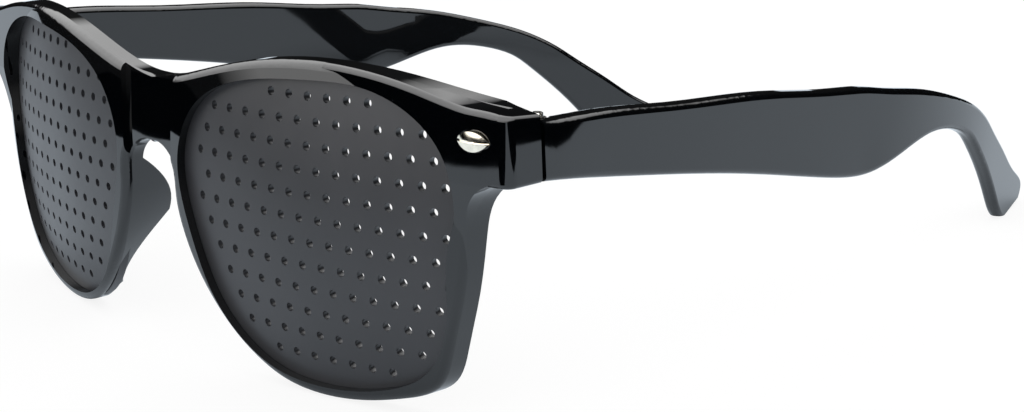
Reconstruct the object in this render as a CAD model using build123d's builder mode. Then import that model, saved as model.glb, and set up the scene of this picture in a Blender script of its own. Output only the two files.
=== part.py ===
"""Pinhole glasses: a moulded front, two perforated plates and two folding temples.

The glasses are made as they are worn: X to the wearer's left, Y from the front to the ears,
Z up along the front, with the plates' middles at height zero. At the end they are stood on
their rims and temple tips, with the origin under the middle of the whole.
"""
import os
from math import asin, atan2, cos, degrees, radians, sin, tan

from build123d import *

# Plates, in millimetres and degrees
lens_spacing = 72.8
wrap_angle = 10.8
plate_radius = 129.0
plate_thickness = 1.25
opening_width = 53.0
opening_height = 44.6
hole_diameter = 1.3
hole_pitch = 3.6
row_pitch = 3.45

# Front, seen square on
rim_proud = 1.5
rim_depth = 3.3
groove_depth = 0.8
groove_clearance = 0.05
bridge_top = 17.9
brow_height = 24.0
arch_height = 7.6
arch_rise = 3.2
arch_half_width = 6.4
arch_splay = 2.0
rim_half_width = 63.2
rim_bottom = 24.6
nose_splay = 15.0
edge_round = 0.7
face_round = 1.3
opening_round = 0.35

# Panel of the bridge, set back from the rims
panel_top_half_width = 7.9
panel_bottom_half_width = 6.0
panel_depth = 0.95
panel_wall_angle = 20.0

# Lugs
lug_half_width = 71.6
lug_top = 19.9
lug_joint_top = 19.2
lug_bottom = 10.3
lug_hollow_x = 67.5
lug_thickness = 3.8
lug_corner_y = 7.0
lug_corner_round = 1.8
lug_face_angle = 10.0
lug_root = 40.0
lug_blend = 12.0
lug_sink = 1.8
lug_end_y = 14.3
joint_y = 12.8
joint_gap = 0.6

# Moulded nose pads
pad_reach = 5.1
pad_width = 4.4
pad_bottom = 22.0
pad_overlap = 0.9

# Temples
temple_thickness = 3.8
tip_thickness = 2.3
temple_toe = 4.83
temple_bend = 17.7
bend_start = 89.0
bend_length = 40.0
temple_top = 18.9
temple_reach = 150.0
tip_depth = 23.4
temple_round = 0.9

# Hinges
knuckle_radius = 1.35
knuckle_height = 2.6
knuckle_gap = 0.05
knuckle_clearance = 0.4
hinge_inset = 4.4
hinge_setback = 3.1
hinge_drop = 1.3
leaf_thickness = 0.7
leaf_height = 4.2
front_leaf_length = 5.0
temple_leaf_length = 7.0
anchor_radius = 0.6
anchor_length = 1.4
running_fit = 0.03
screw_radius = 0.6
screw_head_radius = 0.95
screw_head_height = 0.7
slot_width = 0.4
slot_depth = 0.35

# Studs
stud_length = 5.4
stud_height = 2.7
stud_crown = 1.1
stud_edge = 0.5
stud_stem_radius = 0.7
stud_stem_length = 2.0
stud_groove_width = 0.35
stud_groove_depth = 0.3
stud_x = 66.1
stud_z = 16.3
stud_seat_depth = 0.35
stud_seat_gap = 0.2

overrun = 12.0

half_spacing = lens_spacing / 2
wrap = radians(wrap_angle)
sphere_x = half_spacing - plate_radius * sin(wrap)
sphere_y = plate_radius * cos(wrap)
face_radius = plate_radius + rim_proud
face_y = sphere_y - face_radius
rim_rear = face_y + rim_depth
lens_outward = (sin(wrap), -cos(wrap), 0)
lens_across = (cos(wrap), sin(wrap), 0)
lens_plane = Plane(origin=(half_spacing, 0, 0), x_dir=lens_across, z_dir=lens_outward)
sphere_plane = Plane(origin=(sphere_x, sphere_y, 0), x_dir=lens_across, z_dir=lens_outward)

lug_tilt = radians(lug_face_angle)
lug_root_y = lug_corner_y - (lug_half_width - lug_root) * tan(lug_tilt)

hinge_x = lug_half_width - hinge_inset
hinge_y = joint_y + hinge_setback
hinge_top = lug_joint_top - hinge_drop
stack_height = 3 * knuckle_height + 2 * knuckle_gap
hinge_z = hinge_top - stack_height / 2
leaf_x = lug_half_width - lug_thickness
front_plate_y = joint_y - front_leaf_length
temple_plate_y = hinge_y + knuckle_radius + knuckle_clearance
temple_y = joint_y + joint_gap
temple_length = temple_reach - temple_y

stud_y = lug_root_y + (stud_x - lug_root) * tan(lug_tilt)
lug_outward = (sin(lug_tilt), -cos(lug_tilt), 0)
lug_across = (cos(lug_tilt), sin(lug_tilt), 0)
stud_plane = Plane(origin=(stud_x, stud_y, stud_z), x_dir=lug_across, z_dir=lug_outward)

# The opening's outline, as shares of its width and height from the plate's middle
opening_shares = [
    (0.476, 0.07),
    (0.43, 0.36),
    (0.25, 0.468),
    (0.0, 0.481),
    (-0.25, 0.446),
    (-0.46, 0.318),
    (-0.524, 0.16),
    (-0.485, -0.08),
    (-0.38, -0.335),
    (-0.19, -0.488),
    (0.0, -0.516),
    (0.22, -0.48),
    (0.385, -0.375),
    (0.45, -0.19),
]

# The brow from the middle outwards: shares of the lug's half width, and of the rise from the
# bridge to the brow
brow_shares = [
    (0.0, 0.0),
    (0.09, 0.12),
    (0.184, 0.38),
    (0.31, 0.73),
    (0.42, 0.93),
    (0.55, 1.0),
    (0.68, 0.9),
    (0.8, 0.66),
    (0.9, 0.42),
]

# The rim from the lug down, round and up to the arch: shares of the rim's half width and
# bottom, and of the splay towards the rear
rim_shares = [
    (1.015, 0.285, 0.0),
    (0.998, 0.08, 0.0),
    (0.976, -0.244, 0.0),
    (0.94, -0.55, 0.0),
    (0.895, -0.79, 0.0),
    (0.79, -0.915, 0.0),
    (0.68, -0.976, 0.0),
    (0.56, -1.0, 0.0),
    (0.44, -0.955, 0.0),
    (0.31, -0.81, 0.8),
    (0.19, -0.47, 1.0),
    (0.131, -0.18, 0.4),
    (0.109, 0.03, 0.2),
]

# The arch from its foot to its crown: shares of its reach, and of its rise
arch_shares = [(0.98, 0.2), (0.75, 0.72)]

# A pad's rear edge from the top: shares of its reach behind the rim, and of the pad's bottom
pad_shares = [(0.0, 0.18), (0.55, 0.05), (1.0, -0.14), (1.0, -0.45), (0.7, -0.7), (0.5, -0.86), (0.0, -1.0)]

# A temple's sections from the joint to the tip, each from its upper to its lower edge: shares
# of the temple's length, and of its top above zero or its tip's depth below
temple_shares = [
    ((-0.01, 1.004), (-0.01, 0.555)),
    ((0.08, 0.933), (0.08, 0.458)),
    ((0.165, 0.868), (0.165, 0.349)),
    ((0.267, 0.794), (0.267, 0.209)),
    ((0.394, 0.683), (0.394, 0.0)),
    ((0.479, 0.597), (0.482, -0.115)),
    ((0.545, 0.522), (0.535, -0.137)),
    ((0.608, 0.435), (0.592, -0.081)),
    ((0.673, 0.328), (0.65, -0.021)),
    ((0.73, 0.201), (0.702, -0.038)),
    ((0.775, 0.085), (0.746, -0.108)),
    ((0.815, -0.045), (0.777, -0.2)),
    ((0.854, -0.2), (0.81, -0.37)),
    ((0.895, -0.385), (0.84, -0.545)),
    ((0.936, -0.577), (0.866, -0.72)),
    ((0.976, -0.74), (0.886, -0.87)),
    ((1.001, -0.85), (0.902, -0.965)),
    ((0.99, -0.955), (0.915, -1.0)),
]

# For each row of holes from the top: half pitches from the middle to the hole nearest the
# temple, and the number of holes
hole_rows = [
    (6, 6),
    (11, 12),
    (12, 13),
    (13, 14),
    (12, 13),
    (13, 14),
    (12, 13),
    (13, 13),
    (12, 12),
    (11, 11),
    (10, 10),
    (7, 7),
]


def opening_outline(grow=0.0):
    """A sketch of the left opening on its lens plane, grown on all sides."""
    width = opening_width + 2 * grow
    height = opening_height + 2 * grow
    with BuildSketch(lens_plane) as outline:
        with BuildLine():
            Spline(*[(along * width, up * height) for along, up in opening_shares], periodic=True)
        make_face()
    return outline.sketch


def lens_shell(grow, outer, inner):
    """The part of a spherical shell that lies within the grown opening."""
    with BuildPart() as shell:
        with Locations((sphere_x, sphere_y, 0)):
            Sphere(outer)
            Sphere(inner, mode=Mode.SUBTRACT)
        extrude(opening_outline(grow), amount=overrun, both=True, mode=Mode.INTERSECT)
    return shell.part


def hole_place(along, up):
    """Where a hole crosses the plate, with its axis square to the plate."""
    turn = asin(along / plate_radius)
    lift = asin(up / (plate_radius * cos(turn)))
    spin = Rot(-degrees(lift), 0, 0) * Rot(0, degrees(turn), 0)
    return sphere_plane.location * spin * Pos(0, 0, plate_radius - plate_thickness / 2)


def hole_places():
    """All holes of one plate, row by row."""
    places = []
    for row, (first, count) in enumerate(hole_rows):
        up = ((len(hole_rows) - 1) / 2 - row) * row_pitch
        for step in range(count):
            places.append(hole_place((first - 2 * step) * hole_pitch / 2, up))
    return places


def make_plate():
    """A perforated plate, a piece of a sphere with its edge in the rim's groove."""
    with BuildPart() as plate:
        add(lens_shell(groove_depth, plate_radius, plate_radius - plate_thickness))
        with Locations(*hole_places()):
            Cylinder(hole_diameter / 2, 2 * plate_thickness, mode=Mode.SUBTRACT)
    return plate.part


def front_outline(depth):
    """The left half of the front, seen square on, at a depth along Y."""
    lug_slope = (lug_top - lug_joint_top) / (lug_end_y - lug_corner_y)
    lug_level = lug_top - lug_slope * (depth - lug_corner_y)
    splay = tan(radians(nose_splay)) * (depth - face_y)
    rise = brow_height - bridge_top
    brow_points = [(x * lug_half_width, bridge_top + z * rise) for x, z in brow_shares]
    rim_points = [(x * rim_half_width + s * splay, z * rim_bottom) for x, z, s in rim_shares]
    arch_reach = arch_half_width + tan(radians(arch_splay)) * (depth - face_y)
    arch_foot = arch_height - arch_rise
    arch_points = [(x * arch_reach, arch_foot + z * arch_rise) for x, z in arch_shares]
    with BuildSketch(Plane.XZ.offset(-depth)) as outline:
        with BuildLine():
            brow = Spline(*brow_points, (lug_half_width, lug_level), tangents=[(1, 0), (1, -0.12)])
            side = Line(brow @ 1, (lug_half_width, lug_bottom))
            under = Line(side @ 1, (lug_hollow_x, lug_bottom))
            rim = Spline(under @ 1, *rim_points, *arch_points, (0, arch_height))
            Line(rim @ 1, brow @ 0)
        make_face()
    return outline.sketch


def make_envelope():
    """All that lies within the left half's outline, with the nose's walls splayed."""
    with BuildPart() as envelope:
        loft([front_outline(face_y - overrun / 4), front_outline(lug_end_y + overrun / 4)], ruled=True)
    return envelope.part


def lug_section(height, sink):
    """The lug's plan at a height, its face and rear sunk towards the rim."""
    inner_x = lug_half_width - lug_thickness
    with BuildSketch(Plane.XY.offset(height)) as section:
        with BuildLine():
            Polyline(
                (lug_root, lug_root_y + sink / 2),
                (lug_half_width, lug_corner_y + sink),
                (lug_half_width, lug_end_y),
                (inner_x, lug_end_y - sink),
                (inner_x, lug_end_y - 2 * lug_sink),
                (lug_root, lug_root_y + 3 * lug_sink / 4),
                close=True,
            )
        make_face()
    return section.sketch


def make_lug():
    """The block behind the stud, which runs past the joint, and its blend down to the rim."""
    with BuildPart() as lug:
        extrude(lug_section(lug_bottom, 0), amount=2 * overrun)
        corner = lug.edges().filter_by(Axis.Z).sort_by_distance((lug_half_width, lug_corner_y, 0))[0]
        fillet(corner, lug_corner_round)
        blend = [lug_section(lug_bottom, 0), lug_section(lug_bottom - lug_blend, lug_sink)]
        loft(blend, ruled=True)
        add(make_envelope(), mode=Mode.INTERSECT)
        side_y = (lug_corner_y + lug_end_y) / 2
        rounded = [
            (stud_x, stud_y, lug_top),
            (lug_half_width, lug_corner_y, lug_top),
            (lug_half_width, side_y, lug_joint_top),
            (lug_half_width, lug_corner_y, lug_bottom),
            (lug_half_width, side_y, lug_bottom),
        ]
        fillet([lug.edges().sort_by_distance(place)[0] for place in rounded], edge_round)
        extrude(opening_outline(), amount=overrun, both=True, mode=Mode.SUBTRACT)
    return lug.part


def make_shell():
    """The left half of the front up to its lug, rounded round its face and its opening."""
    centre = Vector(sphere_x, sphere_y, 0)
    with BuildPart() as shell:
        with Locations(centre):
            Sphere(face_radius)
            Sphere(face_radius - rim_depth, mode=Mode.SUBTRACT)
        add(make_envelope(), mode=Mode.INTERSECT)
        outer = [edge for edge in shell.edges() if (edge @ 0.5).X > edge_round]
        rim = [edge for edge in outer if abs(((edge @ 0.5) - centre).length - face_radius) < running_fit]
        fillet(rim, face_round)
        extrude(opening_outline(), amount=overrun, both=True, mode=Mode.SUBTRACT)
        fillet(shell.edges(Select.LAST).sort_by(SortBy.LENGTH)[-1], opening_round)
        with Locations((lug_half_width - lug_thickness / 2, 0, 0)):
            Box(
                overrun,
                4 * overrun,
                4 * brow_height,
                align=(Align.MIN, Align.CENTER, Align.CENTER),
                mode=Mode.SUBTRACT,
            )
    return shell.part


def make_panel_cutter():
    """What is taken off the bridge's face between the two rims."""
    flare = tan(radians(panel_wall_angle))
    front = face_y - overrun
    panel_radius = face_radius - panel_depth
    levels = [(0, panel_bottom_half_width), (brow_height, panel_top_half_width)]
    with BuildPart() as cutter:
        for height, half_width in levels:
            with BuildSketch(Plane.XY.offset(height)):
                with BuildLine():
                    Polyline(
                        (0, front),
                        (half_width + (face_y + panel_depth - front) * flare, front),
                        (half_width, face_y + panel_depth),
                        (half_width, rim_rear),
                        (0, rim_rear),
                        close=True,
                    )
                make_face()
        loft(ruled=True)
        with Locations((0, sphere_y, 0)):
            Cylinder(panel_radius, 8 * overrun, rotation=(0, 90, 0), mode=Mode.SUBTRACT)
    return cutter.part


def make_pad():
    """A moulded nose pad, which carries the nose's wall on behind the rim."""
    band = [(x * rim_half_width + pad_width, z * rim_bottom) for x, z, s in rim_shares[-4:]]
    reach = pad_reach - rim_rear
    edge = [(rim_rear + y * reach, z * pad_bottom) for y, z in pad_shares]
    with BuildPart() as pad:
        with BuildSketch(Plane.XZ.offset(-face_y)):
            with BuildLine():
                side = Spline(*band)
                Polyline(
                    side @ 1,
                    (band[-1][0], arch_height),
                    (0, arch_height),
                    (0, -rim_bottom),
                    (band[0][0], -rim_bottom),
                    side @ 0,
                )
            make_face()
        extrude(amount=-2 * pad_reach)
        with BuildSketch(Plane.YZ):
            with BuildLine():
                rear = Spline(*edge)
                Polyline(rear @ 1, (face_y, edge[-1][1]), (face_y, edge[0][1]), rear @ 0)
            make_face()
        extrude(amount=half_spacing, mode=Mode.INTERSECT)
        with Locations((sphere_x, sphere_y, 0)):
            Sphere(face_radius - rim_depth + pad_overlap, mode=Mode.INTERSECT)
        add(make_envelope(), mode=Mode.INTERSECT)
        extrude(opening_outline(), amount=overrun, both=True, mode=Mode.SUBTRACT)
    return pad.part


def stud_outline(grow=0.0):
    """The stud's pointed outline, two arcs meeting at its ends."""
    with BuildSketch(stud_plane) as outline:
        with BuildLine():
            upper = ThreePointArc((-stud_length / 2, 0), (0, stud_height / 2), (stud_length / 2, 0))
            ThreePointArc(upper @ 1, (0, -stud_height / 2), upper @ 0)
        make_face()
        if grow:
            offset(amount=grow, kind=Kind.ARC)
    return outline.sketch


def make_stud():
    """A domed metal stud with a groove along it and a stem in the lug."""
    drop = stud_crown - stud_edge
    dome_radius = ((stud_length / 2) ** 2 + drop**2) / (2 * drop)
    foot = stud_plane.offset(-stud_seat_depth)
    with BuildPart() as groove:
        with Locations(foot.location):
            Box(2 * stud_length, stud_groove_width, 2 * stud_length)
        with Locations((foot.offset(stud_crown - dome_radius)).location):
            Sphere(dome_radius - stud_groove_depth, mode=Mode.SUBTRACT)
    with BuildPart() as stud:
        extrude(stud_outline().moved(Location(Vector(lug_outward) * -stud_seat_depth)), amount=stud_crown)
        with Locations((foot.offset(stud_crown - dome_radius)).location):
            Sphere(dome_radius, mode=Mode.INTERSECT)
        add(groove.part, mode=Mode.SUBTRACT)
        with Locations(foot.location):
            Cylinder(
                stud_stem_radius,
                stud_stem_length,
                align=(Align.CENTER, Align.CENTER, Align.MAX),
            )
    return stud.part


def make_stud_seat():
    """The recess and hole that the stud is pressed in."""
    with BuildPart() as seat:
        extrude(stud_outline(stud_seat_gap), amount=-stud_seat_depth)
        extrude(stud_outline(stud_seat_gap), amount=stud_crown)
        with Locations(stud_plane.location):
            Cylinder(
                stud_stem_radius + running_fit,
                stud_seat_depth + stud_stem_length + running_fit,
                align=(Align.CENTER, Align.CENTER, Align.MAX),
            )
    return seat.part


def knuckle_z(index):
    """Middle height of a knuckle, counted from the top."""
    return hinge_top - knuckle_height / 2 - index * (knuckle_height + knuckle_gap)


def leaf_plate(plate_y, length, fit=0.0):
    """A leaf's flat plate with its two anchors, or with a fit the seat for them."""
    with BuildPart() as plate:
        with Locations((leaf_x, plate_y, hinge_z)):
            Box(leaf_thickness, length, leaf_height, align=(Align.MIN, Align.MIN, Align.CENTER))
        for share in (1 / 4, 3 / 4):
            with Locations((leaf_x + leaf_thickness, plate_y + share * length, hinge_z)):
                Cylinder(
                    anchor_radius + fit,
                    anchor_length + fit,
                    rotation=(0, 90, 0),
                    align=(Align.CENTER, Align.CENTER, Align.MIN),
                )
    return plate.part


def make_leaf(plate, plate_end, knuckles):
    """A hinge leaf: its plate, its knuckles and the webs between them."""
    with BuildPart() as leaf:
        add(plate)
        for index in knuckles:
            with Locations((hinge_x, hinge_y, knuckle_z(index))):
                Cylinder(knuckle_radius, knuckle_height)
            web = abs(plate_end - hinge_y)
            with Locations((leaf_x, (plate_end + hinge_y) / 2, knuckle_z(index))):
                Box(leaf_thickness, web, knuckle_height, align=(Align.MIN, Align.CENTER, Align.CENTER))
        with Locations((hinge_x, hinge_y, hinge_z)):
            Cylinder(screw_radius + running_fit, 2 * stack_height, mode=Mode.SUBTRACT)
    return leaf.part


def make_screw():
    """The slotted screw through the three knuckles."""
    with BuildPart() as screw:
        with Locations((hinge_x, hinge_y, hinge_top)):
            Cylinder(screw_head_radius, screw_head_height, align=(Align.CENTER, Align.CENTER, Align.MIN))
        fillet(screw.edges().group_by(Axis.Z)[-1], screw_head_height / 3)
        with Locations((hinge_x, hinge_y, hinge_top + screw_head_height)):
            Box(
                2 * screw_head_radius,
                slot_width,
                slot_depth,
                align=(Align.CENTER, Align.CENTER, Align.MAX),
                mode=Mode.SUBTRACT,
            )
        with Locations((hinge_x, hinge_y, hinge_top)):
            Cylinder(screw_radius, stack_height, align=(Align.CENTER, Align.CENTER, Align.MAX))
    return screw.part


def make_front():
    """Both rims, the bridge, the lugs and the nose pads, as one moulding."""
    with BuildPart() as front:
        add(make_shell())
        add(make_pad())
        add(make_lug())
        with Locations((0, joint_y, 0)):
            Box(
                4 * lug_half_width,
                4 * overrun,
                4 * brow_height,
                align=(Align.CENTER, Align.MIN, Align.CENTER),
                mode=Mode.SUBTRACT,
            )
        add(make_panel_cutter(), mode=Mode.SUBTRACT)
        groove_outer = plate_radius + groove_clearance
        groove_inner = plate_radius - plate_thickness - groove_clearance
        add(lens_shell(groove_depth + groove_clearance, groove_outer, groove_inner), mode=Mode.SUBTRACT)
        add(leaf_plate(front_plate_y, front_leaf_length, running_fit), mode=Mode.SUBTRACT)
        add(make_stud_seat(), mode=Mode.SUBTRACT)
        mirror(about=Plane.YZ)
    return front.part


def temple_place(along, up):
    """A point on a temple's outside from its shares."""
    y = temple_y + along * temple_length
    past_start = max(y - bend_start, 0)
    turned = min(past_start, bend_length)
    bent = turned**2 / (2 * bend_length) + past_start - turned
    inset = (y - temple_y) * tan(radians(temple_toe)) + bent * tan(radians(temple_bend))
    return Vector(lug_half_width - inset, y, up * (temple_top if up > 0 else tip_depth))


def temple_section(upper, lower):
    """A temple's rounded section between two places on its outside."""
    along = (upper[0] + lower[0]) / 2
    top = temple_place(*upper)
    bottom = temple_place(*lower)
    rise = top - bottom
    ahead = temple_place(along + 1 / temple_length, 0) - temple_place(along, 0)
    across = ahead.cross(rise).normalized()
    thickness = temple_thickness + along * (tip_thickness - temple_thickness)
    middle = (top + bottom) / 2 - across * thickness / 2
    with BuildSketch(Plane(origin=middle, x_dir=across, z_dir=across.cross(rise))) as section:
        RectangleRounded(thickness, rise.length, temple_round)
    return section.sketch


def make_hinge_room():
    """What a temple leaves free for its leaf, the knuckles and the front leaf's webs."""
    foot = hinge_z - stack_height / 2 - knuckle_clearance
    web_reach = leaf_x - hinge_x + leaf_thickness
    with BuildPart() as room:
        add(leaf_plate(temple_plate_y, temple_leaf_length, running_fit))
        with Locations((leaf_x, hinge_y, hinge_z)):
            Box(
                leaf_thickness,
                temple_plate_y - hinge_y,
                leaf_height,
                align=(Align.MIN, Align.MIN, Align.CENTER),
            )
        with Locations((hinge_x, hinge_y, foot)):
            Cylinder(
                knuckle_radius + knuckle_clearance,
                2 * stack_height,
                align=(Align.CENTER, Align.CENTER, Align.MIN),
            )
            Box(
                2 * (web_reach + knuckle_clearance),
                2 * hinge_setback,
                2 * stack_height,
                align=(Align.CENTER, Align.MAX, Align.MIN),
            )
    return room.part


def make_temple():
    """A temple drawn through its sections, cut square at the joint, with room for the hinge."""
    with BuildPart() as temple:
        loft([temple_section(upper, lower) for upper, lower in temple_shares])
        with Locations((lug_half_width, temple_y, 0)):
            Box(
                lug_half_width,
                overrun,
                4 * temple_top,
                align=(Align.CENTER, Align.MAX, Align.CENTER),
                mode=Mode.SUBTRACT,
            )
        add(make_hinge_room(), mode=Mode.SUBTRACT)
    return temple.part


def standing(front, temple):
    """Where the glasses go when they are let down on their rims and temple tips."""
    tilt = atan2(rim_bottom - tip_depth, temple_reach)
    for _ in range(3):
        turn = Rot(-degrees(tilt), 0, 0)
        rim_low = (turn * front).bounding_box().min.Z
        tip_low = (turn * temple).bounding_box().min.Z
        tilt += (tip_low - rim_low) / temple_reach
    turn = Rot(-degrees(tilt), 0, 0)
    box = (turn * front).bounding_box().add((turn * temple).bounding_box())
    return Pos(0, -(box.min.Y + box.max.Y) / 2, -box.min.Z) * turn, degrees(tilt)


front_plate = leaf_plate(front_plate_y, front_leaf_length)
temple_plate = leaf_plate(temple_plate_y, temple_leaf_length)
front_frame = make_front()
left_pieces = {
    "pinhole_plate": make_plate(),
    "temple": make_temple(),
    "hinge_front_leaf": make_leaf(front_plate, joint_y, (0, 2)),
    "hinge_temple_leaf": make_leaf(temple_plate, temple_plate_y, (1,)),
    "hinge_screw": make_screw(),
    "rivet": make_stud(),
}
stand, stand_tilt = standing(front_frame, left_pieces["temple"])

pieces = {"front_frame": front_frame}
for name, piece in left_pieces.items():
    pieces[name + "_left"] = piece
    pieces[name + "_right"] = mirror(piece, about=Plane.YZ)

os.makedirs("parts", exist_ok=True)
for name, piece in pieces.items():
    stood = stand * piece
    stood.label = name
    export_step(stood, f"parts/{name}.step")

hinge_foot = stand * Pos(hinge_x, hinge_y, hinge_z)
print("standing tilt", round(stand_tilt, 3), "degrees, moved", stand.position)
print("left hinge axis through", hinge_foot.position)
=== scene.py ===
"""Pinhole glasses on a white table, seen from the wearer's left and a little above.

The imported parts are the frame. What is added here is the look: polished black moulded plastic,
satin perforated plates, plated hinge parts and studs, and the table, light and camera.
"""
import math

import bpy
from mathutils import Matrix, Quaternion, Vector

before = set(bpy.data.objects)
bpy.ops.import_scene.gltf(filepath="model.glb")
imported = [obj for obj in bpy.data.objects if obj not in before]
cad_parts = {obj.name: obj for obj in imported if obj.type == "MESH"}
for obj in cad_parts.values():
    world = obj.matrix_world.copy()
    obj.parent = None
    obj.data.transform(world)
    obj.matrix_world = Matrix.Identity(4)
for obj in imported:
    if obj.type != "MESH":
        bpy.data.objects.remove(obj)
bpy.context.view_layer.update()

mm = 0.001

# The camera, found from the hole lattices and the temples in the photograph
camera_place = Vector((267.4, -229.72, 102.01)) * mm
camera_azimuth = -50.007
camera_dip = -15.125
camera_roll = -2.634
focal_share = 2.0252
sensor_width = 36
nearest_seen = 10 * mm

# The noises in the finishes: a scale is in waves to the metre, and a range is the part of the
# noise that is drawn out. The patches on plates and metal share one range.
patch_range = (0.3, 0.7)

# The polished plastic, its patches of polish, its specks of dust and its flow marks
plastic_ior = 1.6
plastic_colour = (0.001, 0.0014, 0.002)
plastic_roughness = (0.015, 0.05)
polish_scale = 60
polish_detail = 5
polish_range = (0.35, 0.75)
dust_colour = (0.03, 0.03, 0.034)
dust_scale = 2600
dust_detail = 2
dust_range = (0.74, 0.8)
flow_scale = 35
flow_detail = 2
flow_strength = 0.05
flow_depth = 0.4 * mm

# The plates' satin plastic and its grain
satin_ior = 1.5
satin_dark = (0.026, 0.027, 0.031)
satin_light = (0.034, 0.035, 0.04)
satin_roughness = (0.34, 0.44)
satin_scale = 45
satin_detail = 4
grain_scale = 3000
grain_detail = 3
grain_strength = 0.06
grain_depth = 0.05 * mm

# The hinges' steel and the studs' plating, each a little uneven
steel_colour = (0.55, 0.54, 0.51)
steel_roughness = (0.2, 0.32)
stud_colour = (0.93, 0.86, 0.72)
stud_roughness = (0.08, 0.16)
metal_scale = 900
metal_detail = 4
metal_dark_share = 0.82

# The table. To gloss it is a glowing sheet, a painted reflection of a lit table, which ends in front
# of the glasses and beside them along wavy edges, with painted shade close to them.
table_radius = 900 * mm
table_steps = 96
table_colour = (0.9, 0.9, 0.9, 1)
table_roughness = 0.9
table_glow = 1.06
glow_share = 0.82
sheet_front = (-201 * mm, -198 * mm)
sheet_side = (215 * mm, 217 * mm)
sheet_turn = 0.2
sheet_wobble = 8 * mm
wobble_scale = 90
painted_sheet_tint = (0.9, 1.0, 1.1, 1)
painted_sheet_level = 1.0
# How far the painted shade on the glowing sheet reaches from the glasses
painted_shade_reach = 30 * mm

# The world's light over its height, to soft surfaces and to gloss. To gloss the bright ceiling
# comes lower in front than behind.
white = (1, 1, 1, 1)
soft_levels = [(0.0, 0.3), (0.3, 0.5), (0.6, 1.0), (1.0, 1.0)]
soft_strength = 1.0
gloss_levels = [(0.0, 0.004), (0.22, 0.01), (0.3, 0.55), (0.7, 1.0)]
gloss_strength = 3.2
ceiling_lean = -0.35


def set_input(node, name, value):
    """Sets one of a node's inputs, by its name or its place."""
    node.inputs[name].default_value = value


def new_material(name):
    """A material with its Principled shader, ready for more nodes."""
    material = bpy.data.materials.new(name)
    material.use_nodes = True
    shader = material.node_tree.nodes["Principled BSDF"]
    return material, shader


def link(material, source, target):
    """Joins two sockets of a material."""
    material.node_tree.links.new(source, target)


def noise(material, scale, detail):
    """A noise over the object's own space."""
    nodes = material.node_tree.nodes
    place = nodes.new("ShaderNodeTexCoord")
    texture = nodes.new("ShaderNodeTexNoise")
    set_input(texture, "Scale", scale)
    set_input(texture, "Detail", detail)
    link(material, place.outputs["Object"], texture.inputs["Vector"])
    return texture.outputs["Fac"]


def remap(material, value, source_range, target_range):
    """A value mapped from one range to another, held at its ends."""
    node = material.node_tree.nodes.new("ShaderNodeMapRange")
    set_input(node, "From Min", source_range[0])
    set_input(node, "From Max", source_range[1])
    set_input(node, "To Min", target_range[0])
    set_input(node, "To Max", target_range[1])
    link(material, value, node.inputs["Value"])
    return node.outputs["Result"]


def bump(material, height, strength, distance, shader):
    """Small hills on the shader's surface."""
    node = material.node_tree.nodes.new("ShaderNodeBump")
    set_input(node, "Strength", strength)
    set_input(node, "Distance", distance)
    link(material, height, node.inputs["Height"])
    link(material, node.outputs["Normal"], shader.inputs["Normal"])


def fill_ramp(ramp, stops):
    """Puts stops of place and colour on a ramp node."""
    elements = ramp.color_ramp.elements
    while len(elements) < len(stops):
        elements.new(0)
    for element, (place, colour) in zip(elements, stops):
        element.position = place
        element.color = (*colour, 1)


def tint(material, value, value_range, dark, light, shader):
    """The shader's colour goes from dark to light over a range of the value."""
    ramp = material.node_tree.nodes.new("ShaderNodeValToRGB")
    fill_ramp(ramp, [(value_range[0], dark), (value_range[1], light)])
    link(material, value, ramp.inputs["Fac"])
    link(material, ramp.outputs["Color"], shader.inputs["Base Color"])


def gloss_plastic():
    """Polished black plastic: faint flow marks, a few rubbed patches and specks of dust."""
    material, shader = new_material("gloss_black_plastic")
    set_input(shader, "IOR", plastic_ior)
    patches = noise(material, polish_scale, polish_detail)
    polish = remap(material, patches, polish_range, plastic_roughness)
    link(material, polish, shader.inputs["Roughness"])
    specks = noise(material, dust_scale, dust_detail)
    dust = remap(material, specks, dust_range, (0, 1))
    tint(material, dust, (0, 1), plastic_colour, dust_colour, shader)
    flow = noise(material, flow_scale, flow_detail)
    bump(material, flow, flow_strength, flow_depth, shader)
    return material


def satin_plastic():
    """Satin dark plastic with a fine even grain."""
    material, shader = new_material("satin_plate_plastic")
    set_input(shader, "IOR", satin_ior)
    patches = noise(material, satin_scale, satin_detail)
    link(material, remap(material, patches, patch_range, satin_roughness), shader.inputs["Roughness"])
    tint(material, patches, patch_range, satin_dark, satin_light, shader)
    grain = noise(material, grain_scale, grain_detail)
    bump(material, grain, grain_strength, grain_depth, shader)
    return material


def metal(name, colour, roughness):
    """Plated metal, slightly uneven."""
    material, shader = new_material(name)
    set_input(shader, "Metallic", 1)
    patches = noise(material, metal_scale, metal_detail)
    link(material, remap(material, patches, patch_range, roughness), shader.inputs["Roughness"])
    darker = tuple(metal_dark_share * part for part in colour)
    tint(material, patches, patch_range, darker, colour, shader)
    return material


def paint(node, material):
    """The CAD node's own material slots take the material."""
    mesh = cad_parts[node].data
    mesh.materials.clear()
    mesh.materials.append(material)


def paint_pieces():
    """Each piece gets the finish of its kind."""
    plastic = gloss_plastic()
    finishes = {
        "pinhole_plate": satin_plastic(),
        "rivet": metal("polished_stud", stud_colour, stud_roughness),
        "hinge": metal("plated_steel", steel_colour, steel_roughness),
    }
    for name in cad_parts:
        kinds = [kind for kind in finishes if name.startswith(kind)]
        paint(name, finishes[kinds[0]] if kinds else plastic)


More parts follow.
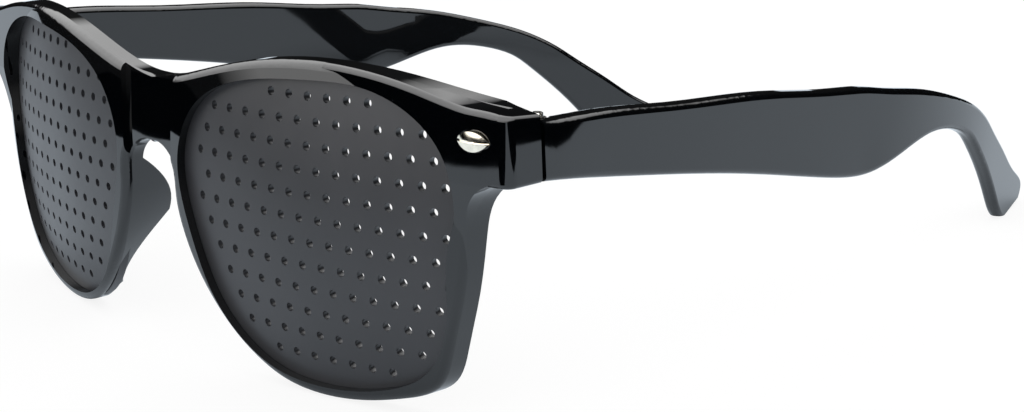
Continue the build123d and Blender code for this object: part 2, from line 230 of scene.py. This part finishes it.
def build_camera():
    """A camera at the photograph's place, turned and rolled as it was."""
    turn = math.radians(camera_azimuth)
    dip = math.radians(camera_dip)
    level = math.cos(dip)
    ahead = Vector((math.sin(turn) * level, math.cos(turn) * level, math.sin(dip)))
    data = bpy.data.cameras.new("camera")
    data.sensor_width = sensor_width
    data.lens = data.sensor_width * focal_share
    data.clip_start = nearest_seen
    camera = bpy.data.objects.new("camera", data)
    camera.location = camera_place
    camera.rotation_mode = "QUATERNION"
    aim = ahead.to_track_quat("-Z", "Y")
    camera.rotation_quaternion = aim @ Quaternion((0, 0, 1), math.radians(camera_roll))
    bpy.context.scene.collection.objects.link(camera)
    bpy.context.scene.camera = camera


def multiply(tree, first, second):
    """A value times another value."""
    node = tree.nodes.new("ShaderNodeMath")
    node.operation = "MULTIPLY"
    tree.links.new(first, node.inputs[0])
    tree.links.new(second, node.inputs[1])
    return node.outputs["Value"]


def multiply_add(tree, value, factor, added=None):
    """A value times a factor, plus another value where there is one."""
    node = tree.nodes.new("ShaderNodeMath")
    node.operation = "MULTIPLY_ADD"
    tree.links.new(value, node.inputs[0])
    set_input(node, 1, factor)
    set_input(node, 2, 0)
    if added is not None:
        tree.links.new(added, node.inputs[2])
    return node.outputs["Value"]


def step(tree, value, edge, before, after):
    """A smooth step from one level to another, between the two sides of an edge."""
    node = tree.nodes.new("ShaderNodeMapRange")
    node.interpolation_type = "SMOOTHSTEP"
    set_input(node, "From Min", edge[0])
    set_input(node, "From Max", edge[1])
    set_input(node, "To Min", before)
    set_input(node, "To Max", after)
    tree.links.new(value, node.inputs["Value"])
    return node.outputs["Result"]


def choose(tree, share, otherwise, chosen):
    """The second shader by a share, and otherwise the first."""
    mix = tree.nodes.new("ShaderNodeMixShader")
    tree.links.new(share, mix.inputs["Fac"])
    tree.links.new(otherwise, mix.inputs[1])
    tree.links.new(chosen, mix.inputs[2])
    return mix.outputs["Shader"]


def wavy_place(tree):
    """The places on the table, pushed about by a noise so that straight edges turn wavy."""
    place = tree.nodes.new("ShaderNodeNewGeometry")
    wobble = tree.nodes.new("ShaderNodeTexNoise")
    set_input(wobble, "Scale", wobble_scale)
    tree.links.new(place.outputs["Position"], wobble.inputs["Vector"])
    pushed = tree.nodes.new("ShaderNodeVectorMath")
    pushed.operation = "MULTIPLY_ADD"
    tree.links.new(wobble.outputs["Color"], pushed.inputs[0])
    set_input(pushed, 1, (sheet_wobble, sheet_wobble, 0))
    tree.links.new(place.outputs["Position"], pushed.inputs[2])
    split = tree.nodes.new("ShaderNodeSeparateXYZ")
    tree.links.new(pushed.outputs["Vector"], split.inputs["Vector"])
    return split.outputs["X"], split.outputs["Y"]


def painted_sheet_light(tree):
    """The painted reflection of a lit table, as gloss sees it: painted shade close to the glasses,
    and dark past its edges.
    """
    beside, behind = wavy_place(tree)
    # Painted light: the sheet glows only within its wavy edges in front of and beside the glasses, as
    # where the table is lit, and is dark past them.
    front = step(tree, behind, sheet_front, 0, 1)
    turned = multiply_add(tree, behind, sheet_turn, beside)
    side = step(tree, turned, sheet_side, 1, 0)
    # Painted shade: ambient occlusion darkens the glowing sheet close to the glasses, as their shadow
    # on the table would.
    painted_shade = tree.nodes.new("ShaderNodeAmbientOcclusion")
    set_input(painted_shade, "Distance", painted_shade_reach)
    lit = multiply_add(tree, painted_shade.outputs["AO"], painted_sheet_level)
    return multiply(tree, multiply(tree, front, side), lit)


def build_table():
    """A round white table that keeps a faint shadow."""
    angles = [2 * math.pi * index / table_steps for index in range(table_steps)]
    rim = [(table_radius * math.cos(angle), table_radius * math.sin(angle), 0) for angle in angles]
    mesh = bpy.data.meshes.new("table")
    mesh.from_pydata(rim, [], [list(range(table_steps))])
    table = bpy.data.objects.new("table", mesh)
    bpy.context.scene.collection.objects.link(table)
    material, shader = new_material("white_table")
    set_input(shader, "Base Color", table_colour)
    set_input(shader, "Roughness", table_roughness)
    tree = material.node_tree
    path = tree.nodes.new("ShaderNodeLightPath")
    seen = tree.nodes.new("ShaderNodeEmission")
    set_input(seen, "Strength", table_glow)
    # To glossy rays the table glows as a painted reflection of a lit table, with painted shade close
    # to the glasses.
    sheet = tree.nodes.new("ShaderNodeEmission")
    set_input(sheet, "Color", painted_sheet_tint)
    tree.links.new(painted_sheet_light(tree), sheet.inputs["Strength"])
    glow = multiply_add(tree, path.outputs["Is Camera Ray"], glow_share)
    direct = choose(tree, glow, shader.outputs["BSDF"], seen.outputs["Emission"])
    surface = choose(tree, path.outputs["Is Glossy Ray"], direct, sheet.outputs["Emission"])
    tree.links.new(surface, tree.nodes["Material Output"].inputs["Surface"])
    mesh.materials.append(material)


def sky(tree, height, levels, strength):
    """A world background whose level goes by height."""
    ramp = tree.nodes.new("ShaderNodeValToRGB")
    fill_ramp(ramp, [(place, (level, level, level)) for place, level in levels])
    tree.links.new(height, ramp.inputs["Fac"])
    background = tree.nodes.new("ShaderNodeBackground")
    set_input(background, "Strength", strength)
    tree.links.new(ramp.outputs["Color"], background.inputs["Color"])
    return background.outputs["Background"]


def build_world():
    """Soft light from above, a dark band round the horizon to gloss, and white to the camera."""
    world = bpy.data.worlds.new("studio")
    bpy.context.scene.world = world
    world.use_nodes = True
    tree = world.node_tree
    place = tree.nodes.new("ShaderNodeTexCoord")
    split = tree.nodes.new("ShaderNodeSeparateXYZ")
    tree.links.new(place.outputs["Generated"], split.inputs["Vector"])
    soft = sky(tree, split.outputs["Z"], soft_levels, soft_strength)
    leaned = multiply_add(tree, split.outputs["Y"], ceiling_lean, split.outputs["Z"])
    gloss = sky(tree, leaned, gloss_levels, gloss_strength)
    backdrop = tree.nodes.new("ShaderNodeBackground")
    set_input(backdrop, "Color", white)
    path = tree.nodes.new("ShaderNodeLightPath")
    light = choose(tree, path.outputs["Is Glossy Ray"], soft, gloss)
    surface = choose(tree, path.outputs["Is Camera Ray"], light, backdrop.outputs["Background"])
    tree.links.new(surface, tree.nodes["World Output"].inputs["Surface"])


paint_pieces()
build_table()
build_world()
build_camera()
bpy.context.scene.view_settings.view_transform = "Standard"
